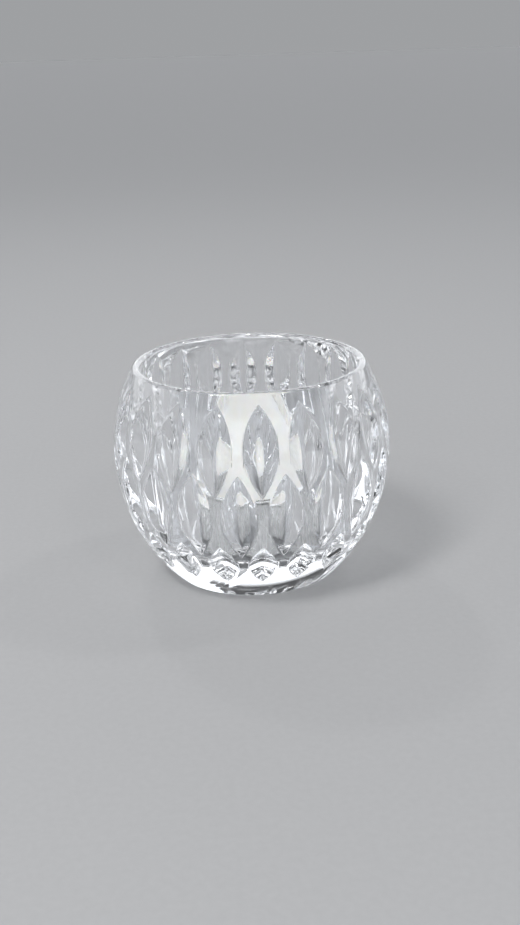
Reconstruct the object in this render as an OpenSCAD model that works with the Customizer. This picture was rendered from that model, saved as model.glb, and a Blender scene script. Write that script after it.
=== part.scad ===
// Tealight holder: a thick pressed-glass globe, flattened at the base and open at the top,
// cut with three rows of pointed leaves, and the tealight that stands on the floor of its well.
// Origin: centre of the base, on the surface that the holder stands on. +Z is up, and the
// middle leaf of the upper row faces -Y.

/* [Glass globe] */
// Outer diameter at the belly
glass_d = 90; // [86:0.5:96]
// Overall height
glass_h = 70; // [68:0.5:74]
// Height of the belly above the base
belly_z = 42; // [40:0.5:44]
// Outer diameter of the base, before its edge is rounded
base_d = 55; // [52:0.5:60]
// Outer diameter of the mouth, before the lip is rounded
mouth_d = 74; // [72:0.5:76]
// Thickness of the rounded lip
lip_t = 3; // [2:0.25:3.5]
// Radius of the rounded edge of the base
heel_r = 2; // [1:0.25:3]

/* [Well] */
// Thickness of the glass under the well
floor_t = 13; // [11:0.5:15]
// Draft of the well's wall, in degrees from upright
well_draft = 5; // [3:0.5:6]
// Radius of the corner between the well's wall and its floor
well_corner_r = 9; // [7:0.5:10]

/* [Leaves] */
// Leaves in each row
leaf_count = 20; // [18:1:21]
// Angle of a leaf's flanks, in degrees from its middle plane
flank_angle = 52.5; // [50:0.5:54]
// Radius of the cutting wheel for the upper and middle rows
long_wheel_r = 35; // [33:0.5:40]
// Radius of the cutting wheel for the low row
short_wheel_r = 11.5; // [11:0.25:13]
// Height of the upper row's top tips
upper_top_z = 66.5; // [65:0.25:67]
// Height of the upper row's bottom tips
upper_bottom_z = 40.5; // [40:0.25:42]
// Height of the middle row's top tips
middle_top_z = 47; // [46:0.25:48]
// Height of the middle row's bottom tips
middle_bottom_z = 19.5; // [18.5:0.25:20.5]
// Height of the low row's top tips
low_top_z = 22.5; // [21.5:0.25:23]
// Height of the low row's bottom tips
low_bottom_z = 8.5; // [8:0.25:9.5]

/* [Tealight] */
// Outer diameter of the aluminium cup's wall
cup_d = 38; // [37:0.25:39]
// Height of the cup
cup_h = 18; // [16:0.5:20]
// Thickness of the cup's foil
foil_t = 0.3; // [0.2:0.05:0.5]
// Thickness of the cup's rolled rim
cup_rim_t = 1; // [0.8:0.1:1.2]
// Depth of wax in the cup
wax_h = 15; // [12:0.5:15]
// Diameter of the wick
wick_d = 1.6; // [1.2:0.1:2]
// Length of wick standing out of the wax
wick_free = 7; // [4:0.5:9]
// Diameter of the wick sustainer's base
tab_d = 13; // [11:0.5:15]
// Thickness of the wick sustainer's metal
tab_t = 0.3; // [0.2:0.05:0.5]
// Height of the wick sustainer's neck
neck_h = 4; // [3:0.5:6]

/* [Hidden] */
$fn = 96;

glass_r = glass_d / 2;
leaf_pitch = 360 / leaf_count;
lip_r = lip_t / 2;
over = 1; // how far cutting shapes run past the glass
cut_margin = 0.5; // how far a leaf's wheel runs past the leaf

// Radius of an arc that leaves the belly upright and has come in by dr after a height of dz
function arc_radius(dr, dz) = (dr * dr + dz * dz) / (2 * dr);
lower_arc_r = arc_radius(glass_r - base_d / 2, belly_z);
upper_arc_r = arc_radius(glass_r - mouth_d / 2, glass_h - belly_z);
function side_arc_r(z) = z < belly_z ? lower_arc_r : upper_arc_r;

// Outer radius of the uncut globe at height z
function globe_r(z) = glass_r - side_arc_r(z) + sqrt(pow(side_arc_r(z), 2) - pow(z - belly_z, 2));

// Radius at which an edge of radius edge_r, centred at height z, lies inside the globe's arc
function edge_centre_r(z, edge_r) =
    glass_r - side_arc_r(z) + sqrt(pow(side_arc_r(z) - edge_r, 2) - pow(z - belly_z, 2));

// Direction, from the level, in which that edge meets the arc
function edge_angle(z, edge_r) = asin((z - belly_z) / (side_arc_r(z) - edge_r));

heel_z = heel_r;
heel_c = edge_centre_r(heel_z, heel_r);
heel_angle = edge_angle(heel_z, heel_r);
lip_z = glass_h - lip_r;
lip_c = edge_centre_r(lip_z, lip_r);
lip_angle = edge_angle(lip_z, lip_r);

// The well's wall leans out from its corner and runs up to the inside of the lip
wall_top = [lip_c - lip_r * cos(well_draft), lip_z + lip_r * sin(well_draft)];
corner_z = floor_t + well_corner_r;
corner_c = wall_top[0] - (wall_top[1] - corner_z) * tan(well_draft) - well_corner_r / cos(well_draft);
wall_foot = [corner_c + well_corner_r * cos(well_draft), corner_z - well_corner_r * sin(well_draft)];

cup_r = cup_d / 2;
cup_z = floor_t;
wax_z = cup_z + foil_t;
wick_r = wick_d / 2;
neck_r = wick_r + tab_t;

// One half of the globe's section: the inside of the arc between heights z0 and z1
module arc_section(arc_r, z0, z1) {
    intersection() {
        translate([glass_r - arc_r, belly_z]) circle(r = arc_r);
        translate([0, z0]) square([glass_r + over, z1 - z0]);
    }
}

// What is trimmed off outside a rounded edge, before the edge's own circle goes on
module edge_trim(edge_c, edge_z, angle, end_z) {
    reach = glass_r;
    tip = [edge_c + reach * cos(angle), edge_z + reach * sin(angle)];
    polygon([[edge_c, edge_z], tip, [tip[0], end_z], [edge_c, end_z]]);
}

module well_section() {
    polygon([[0, floor_t], [corner_c, floor_t], wall_foot, wall_top, [wall_top[0], glass_h + over],
             [0, glass_h + over]]);
    translate([corner_c, corner_z]) circle(r = well_corner_r);
}

module glass_section() {
    difference() {
        union() {
            arc_section(lower_arc_r, 0, belly_z);
            arc_section(upper_arc_r, belly_z, glass_h);
        }
        well_section();
        edge_trim(heel_c, heel_z, heel_angle, -glass_h);
        edge_trim(lip_c, lip_z, lip_angle, 2 * glass_h);
        translate([0, lip_z]) square([lip_c, lip_t]);
    }
    translate([heel_c, heel_z]) circle(r = heel_r);
    translate([lip_c, lip_z]) circle(r = lip_r);
}

// How far an arc of radius r bows away from a chord
function bow(r, chord) = r - sqrt(r * r - chord * chord / 4);

// The rim of a cutting wheel with a V edge, placed to pass through both tips of a leaf, and no
// longer or deeper than that leaf needs, so that neighbours stay apart. The leaf faces +X.
module leaf_cut(wheel_r, top_z, bottom_z) {
    top = [globe_r(top_z), top_z];
    bottom = [globe_r(bottom_z), bottom_z];
    chord = norm(top - bottom);
    outward = [top[1] - bottom[1], bottom[0] - top[0]] / chord;
    axis = (top + bottom) / 2 + outward * (wheel_r - bow(wheel_r, chord));
    depth = bow(wheel_r, chord) + bow(lower_arc_r, chord) + cut_margin;
    half_span = asin((chord / 2 + cut_margin) / wheel_r);
    half_t = depth * tan(flank_angle);
    facing = atan2(-outward[1], -outward[0]);
    translate([axis[0], 0, axis[1]]) rotate([90, 0, 0])
        rotate_extrude(start = facing - half_span, angle = 2 * half_span)
            polygon([[wheel_r - depth, -half_t], [wheel_r, 0], [wheel_r - depth, half_t]]);
}

// One row of leaves. first is the place of its first leaf, in steps of the leaf pitch from -Y.
module leaf_row(first, wheel_r, top_z, bottom_z) {
    for (i = [0 : leaf_count - 1])
        rotate([0, 0, -90 + (first + i) * leaf_pitch]) leaf_cut(wheel_r, top_z, bottom_z);
}

// The rows are cut one after another, because the wheels of two rows cross outside the glass
module glass_body() {
    color([0.88, 0.92, 0.95, 0.4]) difference() {
        difference() {
            difference() {
                rotate_extrude() glass_section();
                leaf_row(0, long_wheel_r, upper_top_z, upper_bottom_z);
            }
            leaf_row(0.5, long_wheel_r, middle_top_z, middle_bottom_z);
        }
        leaf_row(0, short_wheel_r, low_top_z, low_bottom_z);
    }
}

module tealight_cup() {
    color([0.80, 0.81, 0.83]) translate([0, 0, cup_z]) rotate_extrude() {
        square([cup_r, foil_t]);
        translate([cup_r - foil_t, 0]) square([foil_t, cup_h - cup_rim_t / 2]);
        translate([cup_r - foil_t + cup_rim_t / 2, cup_h - cup_rim_t / 2]) circle(d = cup_rim_t);
    }
}

module wax() {
    color([0.95, 0.94, 0.90]) difference() {
        translate([0, 0, wax_z]) cylinder(r = cup_r - foil_t, h = wax_h);
        translate([0, 0, wax_z - over]) cylinder(d = tab_d, h = over + tab_t);
        translate([0, 0, wax_z]) cylinder(r = neck_r, h = tab_t + neck_h);
        translate([0, 0, wax_z]) cylinder(r = wick_r, h = wax_h + over);
    }
}

module wick_sustainer() {
    color([0.66, 0.66, 0.68]) translate([0, 0, wax_z]) difference() {
        union() {
            cylinder(d = tab_d, h = tab_t);
            cylinder(r = neck_r, h = tab_t + neck_h);
        }
        translate([0, 0, -over]) cylinder(r = wick_r, h = neck_h + 3 * over);
    }
}

module wick() {
    color([0.93, 0.91, 0.85]) translate([0, 0, wax_z]) cylinder(r = wick_r, h = wax_h + wick_free);
}

glass_body();
tealight_cup();
wax();
wick_sustainer();
wick();
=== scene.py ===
"""Looks of the tealight holder: a cut-leaf pressed-glass globe and the tealight in its well."""
import math

import bpy
import numpy as np
from mathutils import Matrix, Vector


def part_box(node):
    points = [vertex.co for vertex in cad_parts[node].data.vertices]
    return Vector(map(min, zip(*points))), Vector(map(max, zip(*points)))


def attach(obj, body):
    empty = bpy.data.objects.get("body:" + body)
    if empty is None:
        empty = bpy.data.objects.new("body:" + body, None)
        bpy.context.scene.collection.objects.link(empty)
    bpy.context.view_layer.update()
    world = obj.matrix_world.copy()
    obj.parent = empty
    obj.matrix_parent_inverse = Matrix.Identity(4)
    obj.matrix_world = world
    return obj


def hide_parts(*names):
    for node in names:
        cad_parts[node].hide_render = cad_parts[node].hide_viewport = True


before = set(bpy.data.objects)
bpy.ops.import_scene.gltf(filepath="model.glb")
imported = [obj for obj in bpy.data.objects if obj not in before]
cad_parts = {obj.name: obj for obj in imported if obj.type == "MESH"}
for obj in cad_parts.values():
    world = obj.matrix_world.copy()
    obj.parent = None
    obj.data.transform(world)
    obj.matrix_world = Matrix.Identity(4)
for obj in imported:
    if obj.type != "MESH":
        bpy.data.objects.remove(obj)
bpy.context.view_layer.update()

MM = 0.001

# ---------------------------------------------------------------- glass dimensions, in metres
# GLASS_R and GLASS_H are rounded, because the leaves take a hair off the globe's full width.
GLASS_LOW, GLASS_HIGH = (Vector(corner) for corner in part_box("glass_body"))
CUP_LOW, CUP_HIGH = (Vector(corner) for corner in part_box("tealight_cup"))
WAX_HIGH = Vector(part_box("wax")[1])
TAB_HIGH = Vector(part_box("wick_sustainer")[1])
WICK_LOW, WICK_HIGH = (Vector(corner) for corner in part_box("wick"))
GLASS_R = round((GLASS_HIGH.x - GLASS_LOW.x) / 2, 4)
GLASS_H = round(GLASS_HIGH.z, 4)
WELL_FLOOR_Z = round(CUP_LOW.z, 4)
BELLY_Z = 42 * MM
BASE_R = 27.5 * MM
MOUTH_R = 37 * MM
LIP_R = 1.5 * MM
HEEL_R = 2 * MM
WELL_CORNER_R = 9 * MM
WELL_DRAFT = math.radians(5)

# The leaves: (place of the first one in steps of the pitch, wheel radius, top tip, bottom tip)
LEAF_COUNT = 20
LEAF_PITCH = 2 * math.pi / LEAF_COUNT
FLANK_ANGLE = math.radians(52.5)
LONG_WHEEL_R = 35 * MM
SHORT_WHEEL_R = 11.5 * MM
UPPER_ROW = (0.0, LONG_WHEEL_R, 66.5 * MM, 40.5 * MM)
MIDDLE_ROW = (0.5, LONG_WHEEL_R, 47.0 * MM, 19.5 * MM)
LOW_ROW = (0.0, SHORT_WHEEL_R, 22.5 * MM, 8.5 * MM)
RIDGE_ROUND = 0.30 * MM    # how far fire-polishing softens the ridges between leaves
VALLEY_ROUND = 0.10 * MM   # and the bottom of each cut
LEAST_DEPTH = -0.2 * MM    # the cut surface is sought from just outside the uncut globe
GREATEST_DEPTH = 6 * MM    # to more than any leaf's depth inside it
EDGE_GATHER = 0.45 * MM    # how close to a leaf's edge the mesh's columns gather
# Rings of mesh on the cut side: (height where a run starts, rings in it)
LOW_LEAF_RINGS = (7.5 * MM, 40)
TALL_LEAF_RINGS = (24 * MM, 94)
SHOULDER_RINGS = (67.5 * MM, 5)
HEEL_RINGS, LIP_RINGS = 4, 1

# ---------------------------------------------------------------- tealight dimensions
FOIL_T = 0.3 * MM
CUP_RIM_T = 1.0 * MM
CUP_R = CUP_HIGH.x - CUP_RIM_T + FOIL_T
CUP_FOOT_R = 1.2 * MM       # the rounded edge of the cup's foot
CUP_RECESS = 0.25 * MM      # how far the middle of the cup's underside is raised
RIB_COUNT = 72
RIB_DEPTH = 0.24 * MM
WAX_GAP = 0.03 * MM         # between the wax and the foil, so that their faces stay apart
TAB_T = 0.3 * MM
CRIMP_SHARE = 0.12          # how far the sustainer's crimps squeeze its neck
WAX_CLIMB = 0.55 * MM       # up the foil
WICK_CLIMB = 0.8 * MM       # up the wick
WAX_DIP = 0.35 * MM         # in the middle
WAX_UNEVEN = 0.05 * MM
STRAND_PITCH = 3.2 * MM     # height in which a strand goes once round the wick
WICK_LEAN = (1.1 * MM, 0.5 * MM)


def arc_radius(dr, dz):
    """Radius of an arc that leaves the belly upright and has come in by dr after dz."""
    return (dr * dr + dz * dz) / (2 * dr)


LOWER_ARC_R = arc_radius(GLASS_R - BASE_R, BELLY_Z)
UPPER_ARC_R = arc_radius(GLASS_R - MOUTH_R, GLASS_H - BELLY_Z)


def side_arc_r(z):
    return np.where(np.asarray(z) < BELLY_Z, LOWER_ARC_R, UPPER_ARC_R)


def globe_r(z):
    """Outer radius of the uncut globe at height z."""
    arc = side_arc_r(z)
    return GLASS_R - arc + np.sqrt(arc**2 - (z - BELLY_Z) ** 2)


def wheel_axis(row):
    """Centre (r, z) of the wheel whose rim passes through both tips of a leaf."""
    _, wheel_r, top_z, bottom_z = row
    top = np.array([globe_r(top_z), top_z])
    bottom = np.array([globe_r(bottom_z), bottom_z])
    chord = np.linalg.norm(top - bottom)
    outward = np.array([top[1] - bottom[1], bottom[0] - top[0]]) / chord
    return (top + bottom) / 2 + outward * math.sqrt(wheel_r**2 - chord**2 / 4)


def leaf_distance(row, angle, r, z):
    """Distance into the glass from the nearest V cut of a row. angle is measured from -Y."""
    first, wheel_r = row[0], row[1]
    axis_r, axis_z = wheel_axis(row)
    step = angle / LEAF_PITCH - first
    across_angle = (step - np.round(step)) * LEAF_PITCH
    along = r * np.cos(across_angle)
    across = np.sqrt((r * np.sin(across_angle)) ** 2 + VALLEY_ROUND**2) - VALLEY_ROUND
    rim = np.hypot(axis_r - along, z - axis_z) - wheel_r
    return rim * math.sin(FLANK_ANGLE) + across * math.cos(FLANK_ANGLE)


def glass_depth(angle, r, z):
    """Distance into the glass from its cut outer side, with softly rounded ridges."""
    arc = side_arc_r(z)
    parts = [arc - np.hypot(r - (GLASS_R - arc), z - BELLY_Z)]
    parts += [leaf_distance(row, angle, r, z) for row in (UPPER_ROW, MIDDLE_ROW, LOW_ROW)]
    nearest = np.minimum.reduce(parts)
    inside_round = sum(np.maximum(RIDGE_ROUND - part, 0) ** 2 for part in parts)
    return np.maximum(RIDGE_ROUND, nearest) - np.sqrt(inside_round)


# ---------------------------------------------------------------- meshes
def edge_centre_r(z, edge_r):
    """Radius at which a rounded edge, centred at height z, touches the globe from inside."""
    arc = float(side_arc_r(z))
    return GLASS_R - arc + math.sqrt((arc - edge_r) ** 2 - (z - BELLY_Z) ** 2)


def edge_angle(z, edge_r):
    """Direction, from the level, in which that edge meets the globe."""
    return math.asin((z - BELLY_Z) / (float(side_arc_r(z)) - edge_r))


LIP_Z = GLASS_H - LIP_R
LIP_C = edge_centre_r(LIP_Z, LIP_R)
LIP_ANGLE = edge_angle(LIP_Z, LIP_R)
HEEL_C = edge_centre_r(HEEL_R, HEEL_R)
HEEL_ANGLE = edge_angle(HEEL_R, HEEL_R)
CORNER_Z = WELL_FLOOR_Z + WELL_CORNER_R
WALL_TOP = (LIP_C - LIP_R * math.cos(WELL_DRAFT), LIP_Z + LIP_R * math.sin(WELL_DRAFT))
CORNER_C = (WALL_TOP[0] - (WALL_TOP[1] - CORNER_Z) * math.tan(WELL_DRAFT)
            - WELL_CORNER_R / math.cos(WELL_DRAFT))


def arc_points(centre_r, centre_z, radius, start, end, count, sign=1):
    """Section points (r, z, normal r, normal z) along an arc. sign -1 turns the normals in."""
    turn = np.linspace(start, end, count)
    c, s = np.cos(turn), np.sin(turn)
    return np.column_stack([centre_r + radius * c, centre_z + radius * s, sign * c, sign * s])


def well_section():
    """From the lip's outside, over the lip, down the well to the edge of its floor."""
    lip = arc_points(LIP_C, LIP_Z, LIP_R, LIP_ANGLE, math.pi - WELL_DRAFT, 13)[1:]
    corner = arc_points(CORNER_C, CORNER_Z, WELL_CORNER_R, -WELL_DRAFT, -math.pi / 2, 14, -1)
    wall = np.linspace(lip[-1], corner[0], 8)[1:-1]
    return np.vstack([lip, wall, corner])


def base_section():
    """From the edge of the flat base, round the heel, up to where the cut side begins."""
    return arc_points(HEEL_C, HEEL_R, HEEL_R, -math.pi / 2, HEEL_ANGLE, 7)[:-1]


def side_heights():
    """Heights of the rings on the cut side, closer together where the leaves are small."""
    heel_top = HEEL_R + HEEL_R * math.sin(HEEL_ANGLE)
    lip_foot = LIP_Z + LIP_R * math.sin(LIP_ANGLE)
    stops = [(heel_top, HEEL_RINGS), LOW_LEAF_RINGS, TALL_LEAF_RINGS, SHOULDER_RINGS,
             (lip_foot, LIP_RINGS)]
    runs = [np.linspace(a[0], b[0], a[1], endpoint=False) for a, b in zip(stops, stops[1:])]
    return np.append(np.concatenate(runs), lip_foot)


def leaf_half_angle(row, z):
    """Half the angle that a leaf of this row takes up at height z: 0 where there is none."""
    low, high = np.zeros_like(z), np.full_like(z, LEAF_PITCH / 2)
    r = globe_r(z)
    centre = row[0] * LEAF_PITCH
    for _ in range(30):
        middle = (low + high) / 2
        cut = leaf_distance(row, centre + middle, r, z) < 0
        low, high = np.where(cut, middle, low), np.where(cut, high, middle)
    return low


def column_angles(z):
    """Angles of the columns over half a pitch, gathered along the leaves' edges."""
    half = LEAF_PITCH / 2
    near = EDGE_GATHER / GLASS_R
    aligned = np.maximum(leaf_half_angle(UPPER_ROW, z), leaf_half_angle(LOW_ROW, z))
    offset = leaf_half_angle(MIDDLE_ROW, z)
    least = 3 * near
    aligned = np.clip(aligned, least, half - least - 2 * near)
    offset = np.clip(offset, least, half - aligned - 2 * near)
    marks = [(np.zeros_like(z), 3), (aligned - near, 3), (aligned + near, 2),
             (half - offset - near, 2), (half - offset + near, 3), (np.full_like(z, half), 0)]
    columns = []
    for (start, count), (end, _) in zip(marks, marks[1:]):
        columns += [start + (end - start) * i / count for i in range(count)]
    columns.append(marks[-1][0])
    return np.array(columns)


def cut_side(z):
    """Rings (angle, r, z) of the cut side over one pitch, from glass_depth."""
    half = column_angles(z)
    angle = np.vstack([half, LEAF_PITCH - half[-2:0:-1]]).T
    arc = side_arc_r(z)[:, None]
    lean = np.arcsin((z[:, None] - BELLY_Z) / arc)
    r0, z0 = globe_r(z)[:, None], z[:, None]
    low, high = np.full_like(angle, LEAST_DEPTH), np.full_like(angle, GREATEST_DEPTH)
    for _ in range(40):
        t = (low + high) / 2
        outside = glass_depth(angle, r0 - t * np.cos(lean), z0 - t * np.sin(lean)) < 0
        low, high = np.where(outside, t, low), np.where(outside, high, t)
    return angle, r0 - t * np.cos(lean), z0 - t * np.sin(lean)


def outward_normals(angle, r, z):
    """Outward normals of the cut side, from the slope of glass_depth. x is radial at angle 0."""
    step = 0.004 * MM
    x, y = r * np.cos(angle), r * np.sin(angle)

    def depth(dx, dy, dz):
        return glass_depth(np.arctan2(y + dy, x + dx), np.hypot(x + dx, y + dy), z + dz)

    slope = [depth(*offset) - depth(*(-offset)) for offset in np.eye(3) * step]
    normal = -np.stack(slope, axis=-1)
    return normal / np.linalg.norm(normal, axis=-1, keepdims=True)


def glass_rings():
    """Every ring of the glass from base to well floor: points and normals, (ring, column, 3)."""
    z = side_heights()
    angle, r, height = cut_side(z)
    points = np.stack([r * np.cos(angle), r * np.sin(angle), height], axis=-1)
    normals = outward_normals(angle, r, height)

    def plain(section, columns):
        c, s = np.cos(columns), np.sin(columns)
        sr, sz, nr, nz = (section[:, i:i + 1] for i in range(4))
        return (np.stack([sr * c, sr * s, sz + 0 * c], axis=-1),
                np.stack([nr * c, nr * s, nz + 0 * c], axis=-1))

    base_points, base_normals = plain(base_section(), angle[0])
    well_points, well_normals = plain(well_section(), angle[-1])
    points = np.concatenate([base_points, points, well_points])
    normals = np.concatenate([base_normals, normals, well_normals])
    turned_points, turned_normals = [], []
    for leaf in range(LEAF_COUNT):
        turn = leaf * LEAF_PITCH - math.pi / 2
        c, s = math.cos(turn), math.sin(turn)
        matrix = np.array([[c, s, 0], [-s, c, 0], [0, 0, 1]])
        turned_points.append(points @ matrix)
        turned_normals.append(normals @ matrix)
    return np.concatenate(turned_points, axis=1), np.concatenate(turned_normals, axis=1)


def closed_surface(name, points, normals=None, looped=False):
    """A closed mesh from rings of points. A looped one joins its last ring to its first, and
    any other has a flat face over each end."""
    rings, columns = points.shape[:2]
    index = np.arange(rings * columns).reshape(rings, columns)
    if looped:
        index = np.vstack([index, index[:1]])
    following = np.roll(index, -1, axis=1)
    quads = np.stack([index[:-1], following[:-1], following[1:], index[1:]], axis=-1)
    faces = quads.reshape(-1, 4).tolist()
    if not looped:
        faces.append(index[0, ::-1].tolist())
        faces.append(index[-1].tolist())
    mesh = bpy.data.meshes.new(name)
    mesh.from_pydata(points.reshape(-1, 3).tolist(), [], faces)
    mesh.shade_smooth()
    if normals is not None:
        mesh.normals_split_custom_set_from_vertices(normals.reshape(-1, 3).tolist())
    piece = bpy.data.objects.new(name, mesh)
    bpy.context.scene.collection.objects.link(piece)
    return piece


# ---------------------------------------------------------------- materials
def new_material(name, colour, roughness, metallic=0.0):
    """A material with its Principled shader, ready for texture nodes."""
    material = bpy.data.materials.new(name)
    material.use_nodes = True
    shader = material.node_tree.nodes["Principled BSDF"]
    shader.inputs["Base Color"].default_value = (*colour, 1)
    shader.inputs["Roughness"].default_value = roughness
    shader.inputs["Metallic"].default_value = metallic
    return material, material.node_tree, shader


def noise_texture(tree, size, detail=2.0, stretch=(1, 1, 1)):
    """Noise whose features are about size metres across. stretch above 1 draws them out."""
    place = tree.nodes.new("ShaderNodeTexCoord")
    mapping = tree.nodes.new("ShaderNodeMapping")
    mapping.inputs["Scale"].default_value = [1 / (size * along) for along in stretch]
    noise = tree.nodes.new("ShaderNodeTexNoise")
    noise.inputs["Scale"].default_value = 1.0
    noise.inputs["Detail"].default_value = detail
    tree.links.new(place.outputs["Object"], mapping.inputs["Vector"])
    tree.links.new(mapping.outputs["Vector"], noise.inputs["Vector"])
    return noise.outputs["Fac"]


def vary_roughness(tree, shader, value, low, high):
    """Roughness that runs from low to high with a texture."""
    spread = tree.nodes.new("ShaderNodeMapRange")
    spread.inputs["From Min"].default_value = 0.3
    spread.inputs["From Max"].default_value = 0.7
    spread.inputs["To Min"].default_value = low
    spread.inputs["To Max"].default_value = high
    tree.links.new(value, spread.inputs["Value"])
    tree.links.new(spread.outputs["Result"], shader.inputs["Roughness"])


def vary_colour(tree, shader, value, first, second):
    """Base colour that runs from first to second with a texture."""
    ramp = tree.nodes.new("ShaderNodeValToRGB")
    ramp.color_ramp.elements[0].position = 0.3
    ramp.color_ramp.elements[0].color = (*first, 1)
    ramp.color_ramp.elements[1].position = 0.7
    ramp.color_ramp.elements[1].color = (*second, 1)
    tree.links.new(value, ramp.inputs["Fac"])
    tree.links.new(ramp.outputs["Color"], shader.inputs["Base Color"])


def add_bump(tree, shader, value, height, under=None):
    """Relief of the given height in metres, on top of an earlier bump if there is one."""
    bump = tree.nodes.new("ShaderNodeBump")
    bump.inputs["Distance"].default_value = height
    tree.links.new(value, bump.inputs["Height"])
    if under:
        tree.links.new(under, bump.inputs["Normal"])
    tree.links.new(bump.outputs["Normal"], shader.inputs["Normal"])
    return bump.outputs["Normal"]


def glass_material():
    """Clear pressed glass, with the faint ripple and bloom of a fire-polished surface."""
    material, tree, shader = new_material("clear_glass", (0.975, 0.985, 1.0), 0.0)
    shader.inputs["Transmission Weight"].default_value = 1
    shader.inputs["IOR"].default_value = 1.52
    vary_roughness(tree, shader, noise_texture(tree, 12 * MM), 0.0, 0.015)
    ripple = add_bump(tree, shader, noise_texture(tree, 7 * MM, 1.0), 0.012 * MM)
    add_bump(tree, shader, noise_texture(tree, 1.6 * MM, 1.0), 0.0008 * MM, ripple)
    return material


def aluminium_material():
    """Bright foil, drawn upwards into a cup, with fine scuffs along the draw."""
    material, tree, shader = new_material("cup_aluminium", (0.93, 0.925, 0.91), 0.25, 1.0)
    vary_roughness(tree, shader, noise_texture(tree, 1.5 * MM, 3.0, (1, 1, 5)), 0.16, 0.36)
    scuffs = add_bump(tree, shader, noise_texture(tree, 0.25 * MM, 3.0, (1, 1, 12)), 0.006 * MM)
    add_bump(tree, shader, noise_texture(tree, 3 * MM), 0.05 * MM, scuffs)
    return material


def wax_material():
    """Paraffin wax: white, a little translucent, mottled where it set."""
    material, tree, shader = new_material("candle_wax", (0.95, 0.94, 0.90), 0.4)
    shader.inputs["Subsurface Weight"].default_value = 0.35
    shader.inputs["Subsurface Radius"].default_value = (1.0, 0.8, 0.55)
    shader.inputs["Subsurface Scale"].default_value = 2 * MM
    shader.inputs["IOR"].default_value = 1.44
    mottle = noise_texture(tree, 2.5 * MM, 4.0)
    vary_colour(tree, shader, mottle, (0.93, 0.92, 0.86), (0.97, 0.965, 0.94))
    vary_roughness(tree, shader, mottle, 0.3, 0.5)
    add_bump(tree, shader, noise_texture(tree, 1.2 * MM, 4.0), 0.03 * MM)
    return material


def tinned_steel_material():
    """Thin stamped sheet, dull with tin."""
    material, tree, shader = new_material("tinned_steel", (0.66, 0.66, 0.68), 0.35, 1.0)
    vary_roughness(tree, shader, noise_texture(tree, 1.0 * MM, 4.0), 0.28, 0.5)
    add_bump(tree, shader, noise_texture(tree, 0.3 * MM, 3.0, (8, 1, 1)), 0.005 * MM)
    return material


def cotton_material():
    """Waxed cotton, with fibres along the strands and a little yellowing."""
    material, tree, shader = new_material("wick_cotton", (0.93, 0.91, 0.85), 0.7)
    shader.inputs["Sheen Weight"].default_value = 0.3
    fibres = noise_texture(tree, 0.06 * MM, 3.0, (1, 1, 6))
    vary_colour(tree, shader, noise_texture(tree, 0.8 * MM), (0.86, 0.82, 0.72), (0.95, 0.94, 0.89))
    vary_roughness(tree, shader, fibres, 0.55, 0.85)
    add_bump(tree, shader, fibres, 0.03 * MM)
    return material


# ---------------------------------------------------------------- pieces
def finish_piece(piece, material, body, node):
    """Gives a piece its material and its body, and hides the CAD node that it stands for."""
    piece.data.materials.append(material)
    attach(piece, body)
    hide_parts(node)


def turned_surface(name, section, columns, shape=None, looped=False):
    """A closed mesh turned from section points (r, z). shape(angle, r, z) may move its points."""
    angle = np.linspace(0, 2 * math.pi, columns, endpoint=False)[None, :]
    r = section[:, :1] + 0 * angle
    z = section[:, 1:2] + 0 * angle
    if shape:
        r, z = shape(angle + 0 * r, r, z)
    points = np.stack([r * np.cos(angle), r * np.sin(angle), z], axis=-1)
    return closed_surface(name, points, looped=looped)


def plain_arc(centre_r, centre_z, radius, start, end, count):
    """Section points (r, z) along an arc, with its angles in degrees."""
    turn = np.radians(np.linspace(start, end, count))
    return np.column_stack([centre_r + radius * np.cos(turn), centre_z + radius * np.sin(turn)])


def run(start, end, count):
    """Section points (r, z) from start to end, without the first one."""
    return np.linspace(start, end, count + 1)[1:]


def rib_depth(angle, z):
    """How far the crimped ribs draw the cup's wall in. They fade out towards foot and rim."""
    along = (z - CUP_LOW.z) / (CUP_HIGH.z - CUP_LOW.z)
    rise = np.clip((along - 0.10) / 0.12, 0, 1)
    fall = np.clip((0.93 - along) / 0.08, 0, 1)
    fade = rise**2 * (3 - 2 * rise) * fall**2 * (3 - 2 * fall)
    return RIB_DEPTH * fade * (0.5 + 0.5 * np.cos(RIB_COUNT * angle))


def ribbed(angle, r, z):
    """Draws the part of a wall that is close to the foil in with the ribs."""
    near_wall = np.clip((r - CUP_R + 4 * FOIL_T) / (3 * FOIL_T), 0, 1)
    return r - near_wall * rib_depth(angle, z), z


def cup_section():
    """From the middle of the cup's underside, up its wall, over the rolled rim and down inside."""
    bottom, top = CUP_LOW.z, CUP_HIGH.z
    middle = 0.4 * MM
    foot_c = CUP_R - CUP_FOOT_R
    step_r = foot_c - 1.5 * MM
    rim_r = CUP_RIM_T / 2
    rim_c = (CUP_R - FOIL_T + rim_r, top - rim_r)
    inner_r = CUP_R - FOIL_T
    inner_foot = CUP_FOOT_R - FOIL_T
    floor_z = bottom + CUP_RECESS + FOIL_T
    underside = [(middle, bottom + CUP_RECESS)]
    underside = np.vstack([underside, run(underside[0], (step_r, bottom + CUP_RECESS), 8)])
    foot_edge = run(underside[-1], (foot_c - 0.5 * MM, bottom), 3)
    foot = plain_arc(foot_c, bottom + CUP_FOOT_R, CUP_FOOT_R, -90, 0, 8)
    wall = run(foot[-1], (CUP_R, rim_c[1] - rim_r * 0.9), 22)
    rim = plain_arc(*rim_c, rim_r, -60, 180, 16)
    inside = run(rim[-1], (inner_r, floor_z + inner_foot), 22)
    inner_corner = plain_arc(inner_r - inner_foot, floor_z + inner_foot, inner_foot, 0, -90, 6)[1:]
    floor = run(inner_corner[-1], (middle, floor_z), 8)
    return np.vstack([underside, foot_edge, foot, wall, rim, inside, inner_corner, floor])


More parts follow.
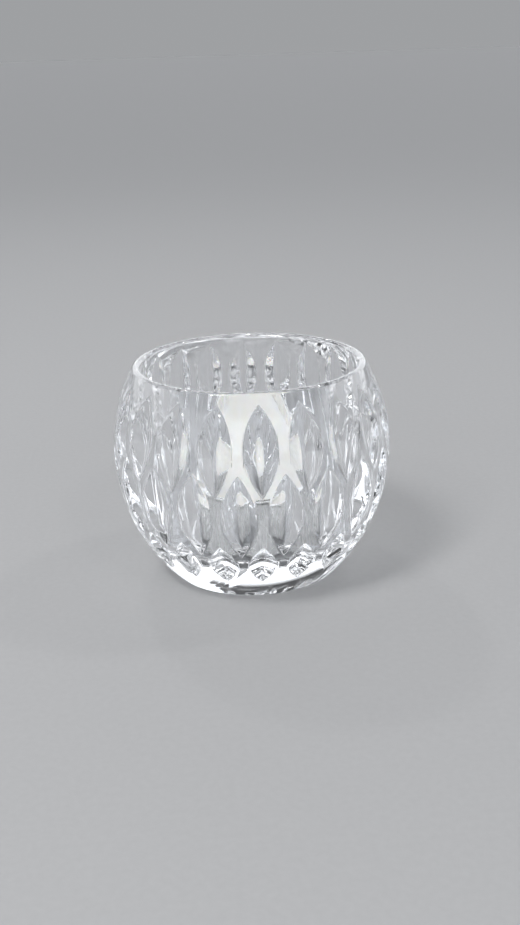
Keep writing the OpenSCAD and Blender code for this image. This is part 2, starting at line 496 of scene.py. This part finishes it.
def make_cup():
    piece = turned_surface("tealight_foil_cup", cup_section(), RIB_COUNT * 6, ribbed)
    finish_piece(piece, aluminium_material(), "tealight", "tealight_cup")


def wax_surface(angle, r, z):
    """Wax that has set: it climbs the foil and the wick, dips between them and is uneven."""
    edge_r = CUP_R - FOIL_T - WAX_GAP
    wick_r = WICK_HIGH.x
    on_top = np.clip((z - WAX_HIGH.z) / (0.2 * MM) + 1, 0, 1)
    climb = WAX_CLIMB * np.exp(-(edge_r - r) / (0.7 * MM))
    wick_climb = WICK_CLIMB * np.exp(-np.maximum(r - wick_r, 0) / (0.8 * MM))
    dip = WAX_DIP * (1 - (r / edge_r) ** 2)
    x, y = r * np.cos(angle) / MM, r * np.sin(angle) / MM
    uneven = WAX_UNEVEN * (np.sin(0.7 * x + 0.4 * y) + np.sin(0.5 * y - 0.9 * x + 1.0)
                           + np.sin(1.1 * y + 0.3 * x + 2.0))
    r, _ = ribbed(angle, r, z)
    return r, z + on_top * (climb + wick_climb - dip + uneven * (1 - (r / edge_r) ** 4))


def make_wax():
    edge_r = CUP_R - FOIL_T - WAX_GAP
    foot_r = CUP_FOOT_R
    bottom = CUP_LOW.z + CUP_RECESS + FOIL_T + WAX_GAP
    middle = 0.3 * MM
    underside = np.linspace((middle, bottom), (edge_r - foot_r, bottom), 6)
    foot = plain_arc(edge_r - foot_r, bottom + foot_r, foot_r, -90, 0, 6)[1:]
    side = run(foot[-1], (edge_r, WAX_HIGH.z), 22)
    top_edge = run(side[-1], (edge_r - 3 * MM, WAX_HIGH.z), 14)
    top = run(top_edge[-1], (3 * MM, WAX_HIGH.z), 22)
    around_wick = run(top[-1], (middle, WAX_HIGH.z), 14)
    section = np.vstack([underside, foot, side, top_edge, top, around_wick])
    piece = turned_surface("wax_fill", section, RIB_COUNT * 4, wax_surface)
    finish_piece(piece, wax_material(), "tealight", "wax")


def make_sustainer():
    """A stamped tab with a raised ring and a neck that four crimps close on the wick."""
    tab_r, neck_r = TAB_HIGH.x, WICK_HIGH.x + TAB_T
    bottom, neck_top = CUP_LOW.z + CUP_RECESS + FOIL_T + 2 * WAX_GAP, TAB_HIGH.z
    bore_r = WICK_HIGH.x
    under = np.vstack([[(neck_r, bottom)], run((neck_r, bottom), (tab_r - TAB_T / 2, bottom), 20)])
    edge = plain_arc(tab_r - TAB_T / 2, bottom + TAB_T / 2, TAB_T / 2, -80, 80, 6)
    over = np.vstack([[(tab_r - TAB_T / 2, bottom + TAB_T)],
                      run((tab_r - TAB_T / 2, bottom + TAB_T), (neck_r + 0.5 * MM, bottom + TAB_T), 20)])
    fillet = plain_arc(neck_r + 0.5 * MM, bottom + TAB_T + 0.5 * MM, 0.5 * MM, 270, 180, 5)[1:]
    neck = run(fillet[-1], (neck_r, neck_top - 0.1 * MM), 12)
    lip = [((neck_r + bore_r) / 2, neck_top)]
    bore = run((bore_r, neck_top - 0.1 * MM), (bore_r, bottom + 0.2 * MM), 12)
    section = np.vstack([under, edge, over, fillet, neck, lip, bore])

    def stamped(angle, r, z):
        ring = 0.35 * MM * np.exp(-((r - 0.62 * tab_r) / (0.7 * MM)) ** 2)
        crimp = np.clip((z - bottom - 1.5 * MM) / (1.5 * MM), 0, 1) * CRIMP_SHARE * np.cos(4 * angle)
        return r * (1 - np.where(r < 1.5 * neck_r, crimp, 0)), z + ring

    piece = turned_surface("sustainer_tab", section, 96, stamped, looped=True)
    finish_piece(piece, tinned_steel_material(), "tealight", "wick_sustainer")


def braided(angle, r, z):
    """Strands that cross both ways round the wick, and a soft cut end."""
    turn = 2 * math.pi * z / STRAND_PITCH
    strands = np.maximum(np.cos(3 * angle + turn), np.cos(3 * angle - turn))
    end = np.clip((WICK_HIGH.z - z) / (0.5 * MM), 0, 1)
    return r * (0.90 + 0.10 * strands * end), z


def make_wick():
    """A braided cotton wick. It stands up out of the wax with a slight lean."""
    wick_r = WICK_HIGH.x
    body = np.linspace((wick_r, WICK_LOW.z), (wick_r, WICK_HIGH.z - 0.3 * MM), 150)
    end = plain_arc(wick_r - 0.3 * MM, WICK_HIGH.z - 0.3 * MM, 0.3 * MM, 20, 90, 5)
    centre = run(end[-1], (0.1 * MM, WICK_HIGH.z), 3)
    piece = turned_surface("wick_braid", np.vstack([body, end, centre]), 48, braided)
    for vertex in piece.data.vertices:
        free = max(vertex.co.z - WAX_HIGH.z, 0) / (WICK_HIGH.z - WAX_HIGH.z)
        vertex.co.x += WICK_LEAN[0] * free**2
        vertex.co.y += WICK_LEAN[1] * free**2
    finish_piece(piece, cotton_material(), "tealight", "wick")


def make_glass():
    points, normals = glass_rings()
    piece = closed_surface("glass_bowl", points, normals)
    finish_piece(piece, glass_material(), "holder", "glass_body")


# ---------------------------------------------------------------- stage
CAMERA_ELEVATION, CAMERA_AZIMUTH, CAMERA_ROLL = (math.radians(a) for a in (20.0, -3.3, 1.74))
CAMERA_DISTANCE = 8.58 * GLASS_R
CAMERA_AIM = Vector((0.056 * GLASS_R, 0, 0.778 * GLASS_R))
CAMERA_LENS, CAMERA_SENSOR = 45.55, 36

HORIZON_GLOW = 0.191
# Share of the tent's full glow at each elevation in degrees. It is as bright as the far floor at
# the horizon, brightest on its low walls and dark above, so the cuts have something to bend.
TENT = [(0, HORIZON_GLOW), (3, HORIZON_GLOW), (6, 1.0), (25, 1.0), (33, 0.03), (90, 0.03)]
TENT_TINT = (0.95, 0.97, 1.0)
TENT_STRENGTH = 1.9
WELL_LAMP_POWER = 6.0
WELL_LAMP_PLACE, WELL_LAMP_CONE = (0, -0.02, 0.65), math.radians(7)
KEY_LAMP_POWER = 2.0
SPARKLE_LAMP_POWER = 0.4
KEY_LAMP_PLACE, KEY_LAMP_SIZE = (-0.35, -0.35, 0.8), 0.25
SPARKLE_LAMP_SIZE = 0.05
SPARKLE_PLACES = [(-0.5, -0.5, 0.7), (0.3, -0.7, 0.8), (0.5, 0.2, 0.8), (-0.2, 0.6, 0.7)]
FLOOR_SIDE = 24.0
FLOOR_GAP = 0.1 * MM  # so that the base's flat face and the floor are not in one plane
LIGHT_BOUNCES = 32    # light is reflected many times inside cut glass before it leaves


def make_camera():
    """The photograph's view: from the front, 20 degrees up, turned a little to the left."""
    turn = Matrix.Rotation(CAMERA_AZIMUTH, 4, "Z")
    place = Vector((0, -CAMERA_DISTANCE * math.cos(CAMERA_ELEVATION),
                    CAMERA_AIM.z + CAMERA_DISTANCE * math.sin(CAMERA_ELEVATION)))
    look = (CAMERA_AIM - place).to_track_quat("-Z", "Y").to_matrix().to_4x4()
    camera = bpy.data.cameras.new("camera")
    camera.lens = CAMERA_LENS
    camera.sensor_width = CAMERA_SENSOR
    camera.clip_start = 0.01
    seen = bpy.data.objects.new("camera", camera)
    seen.matrix_world = turn @ Matrix.Translation(place) @ look @ Matrix.Rotation(-CAMERA_ROLL, 4, "Z")
    bpy.context.scene.collection.objects.link(seen)
    bpy.context.scene.camera = seen


def look_from(thing, place, aim):
    """Puts a lamp at place and turns it to aim."""
    thing.location = place
    thing.rotation_euler = (Vector(aim) - Vector(place)).to_track_quat("-Z", "Y").to_euler()
    bpy.context.scene.collection.objects.link(thing)


def soft_lamp(name, place, size, power):
    """A round soft box that faces the glass."""
    light = bpy.data.lights.new(name, "AREA")
    light.shape = "DISK"
    light.size = size
    light.energy = power
    look_from(bpy.data.objects.new(name, light), place, (0, 0, BELLY_Z))


def well_lamp():
    """A narrow soft-edged beam from above, through the mouth and onto the tealight."""
    light = bpy.data.lights.new("well_lamp", "SPOT")
    light.energy = WELL_LAMP_POWER
    light.spot_size = WELL_LAMP_CONE
    light.spot_blend = 1.0
    light.shadow_soft_size = 0.02
    look_from(bpy.data.objects.new("well_lamp", light), WELL_LAMP_PLACE, (0, 0, CUP_HIGH.z))


def floor_material():
    """Matt pale board with a faint tooth."""
    material, tree, shader = new_material("pale_floor", (0.6, 0.6, 0.6), 0.8)
    grain = noise_texture(tree, 2 * MM, 3.0)
    vary_colour(tree, shader, grain, (0.59, 0.59, 0.595), (0.61, 0.61, 0.615))
    add_bump(tree, shader, grain, 0.02 * MM)
    return material


def make_floor():
    mesh = bpy.data.meshes.new("floor")
    half = FLOOR_SIDE / 2
    corners = [(-half, -half, 0), (half, -half, 0), (half, half, 0), (-half, half, 0)]
    mesh.from_pydata(corners, [], [(0, 1, 2, 3)])
    floor = bpy.data.objects.new("floor", mesh)
    floor.location.z = -FLOOR_GAP
    mesh.materials.append(floor_material())
    bpy.context.scene.collection.objects.link(floor)


def make_surround():
    """A light tent whose glow changes with elevation only."""
    world = bpy.data.worlds.new("studio")
    bpy.context.scene.world = world
    world.use_nodes = True
    nodes, links = world.node_tree.nodes, world.node_tree.links
    place = nodes.new("ShaderNodeTexCoord")
    axes = nodes.new("ShaderNodeSeparateXYZ")
    ramp = nodes.new("ShaderNodeValToRGB")
    ramp.color_ramp.interpolation = "EASE"
    stops = ramp.color_ramp.elements
    while len(stops) < len(TENT):
        stops.new(1.0)
    for stop, (elevation, glow) in zip(stops, TENT):
        stop.position = math.sin(math.radians(elevation))
        stop.color = [glow * part for part in TENT_TINT] + [1]
    links.new(place.outputs["Generated"], axes.inputs["Vector"])
    links.new(axes.outputs["Z"], ramp.inputs["Fac"])
    links.new(ramp.outputs["Color"], nodes["Background"].inputs["Color"])
    nodes["Background"].inputs["Strength"].default_value = TENT_STRENGTH


def make_lights():
    make_surround()
    well_lamp()
    soft_lamp("key_lamp", KEY_LAMP_PLACE, KEY_LAMP_SIZE, KEY_LAMP_POWER)
    for index, place in enumerate(SPARKLE_PLACES):
        soft_lamp(f"sparkle_lamp_{index + 1}", place, SPARKLE_LAMP_SIZE, SPARKLE_LAMP_POWER)


make_camera()
make_glass()
make_cup()
make_wax()
make_sustainer()
make_wick()
make_floor()
make_lights()
bpy.context.scene.view_settings.view_transform = "Standard"
for kind in ("transmission_bounces", "glossy_bounces", "max_bounces"):
    setattr(bpy.context.scene.cycles, kind, LIGHT_BOUNCES)
